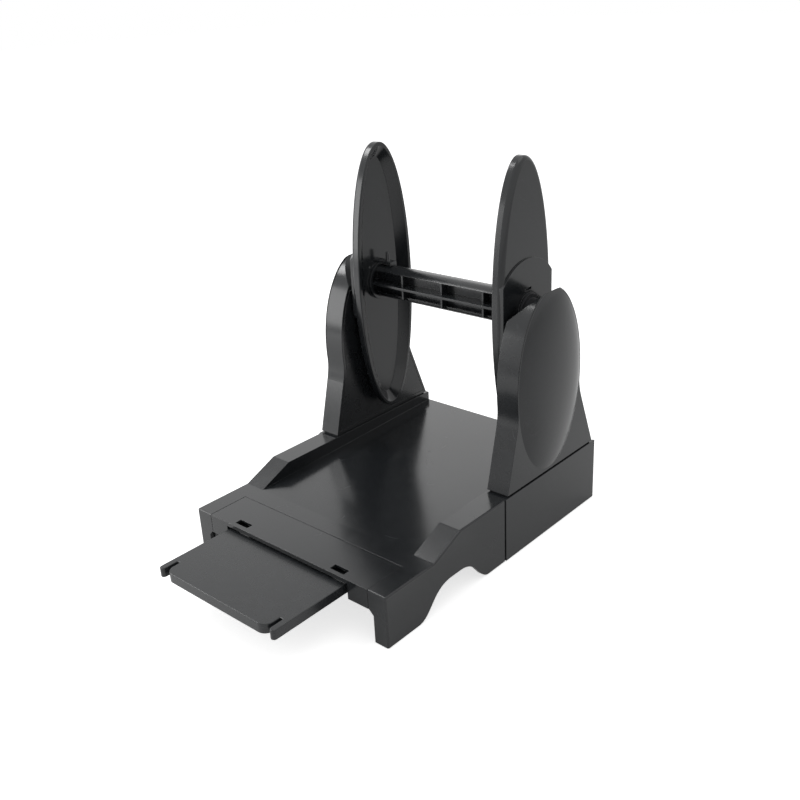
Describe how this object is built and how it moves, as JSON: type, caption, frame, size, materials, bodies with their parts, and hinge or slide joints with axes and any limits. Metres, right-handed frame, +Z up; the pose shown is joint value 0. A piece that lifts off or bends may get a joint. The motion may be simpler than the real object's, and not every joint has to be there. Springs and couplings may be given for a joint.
{
  "type": "label roll holder",
  "caption": "Free-standing counter holder for a roll of labels: hollow base with a pull-out tongue, two towers and a lift-out spindle with sliding oval flanges",
  "frame": {"origin": "on the table under the middle of the whole footprint, with the tongue pulled out", "axes": "X across the holder along the spindle, Y from the tongue to the back, Z up"},
  "size_m": [0.172, 0.2632, 0.2385],
  "materials": {
    "black_shell": "moulded, semi-gloss",
    "black_slider": "moulded, satin",
    "black_inner": "moulded, fine texture",
    "bearing_plastic": "moulded, waxy",
    "screw_steel": "zinc plated",
    "pad_rubber": "matt"
  },
  "bodies": {
    "base": {"base_tray": "black_shell", "front_cover": "black_shell", "tongue_keeper": "black_inner", "keeper_screws": "screw_steel", "tower_screws": "screw_steel", "rubber_pads": "pad_rubber", "right_tower_shell": "black_shell", "left_tower_shell": "black_shell", "right_inner_panel": "black_inner", "left_inner_panel": "black_inner", "right_saddle": "bearing_plastic", "left_saddle": "bearing_plastic"},
    "tongue": {"tongue_plate": "black_slider"},
    "bushes": {"right_end_bush": "bearing_plastic", "left_end_bush": "bearing_plastic"},
    "spindle": {"spindle_bar": "black_slider"},
    "right_guide": {"right_flange": "black_shell", "right_flange_clip": "black_slider"},
    "left_guide": {"left_flange": "black_shell", "left_flange_clip": "black_slider"}
  },
  "joints": [
    {"name": "tongue_slide", "type": "slide", "parent": "base", "child": "tongue", "axis": [0, 1, 0], "range_m": [0, 0.048]},
    {"name": "spindle_lift", "type": "slide", "parent": "base", "child": "bushes", "axis": [0, 0, 1], "range_m": [0, 0.12]},
    {"name": "spindle_spin", "type": "hinge", "parent": "bushes", "child": "spindle", "pos_m": [0, 0.0796, 0.1465], "axis": [1, 0, 0], "continuous": true},
    {"name": "right_flange_slide", "type": "slide", "parent": "spindle", "child": "right_guide", "axis": [-1, 0, 0], "range_m": [0, 0.04]},
    {"name": "left_flange_slide", "type": "slide", "parent": "spindle", "child": "left_guide", "axis": [1, 0, 0], "range_m": [0, 0.04]}
  ]
}
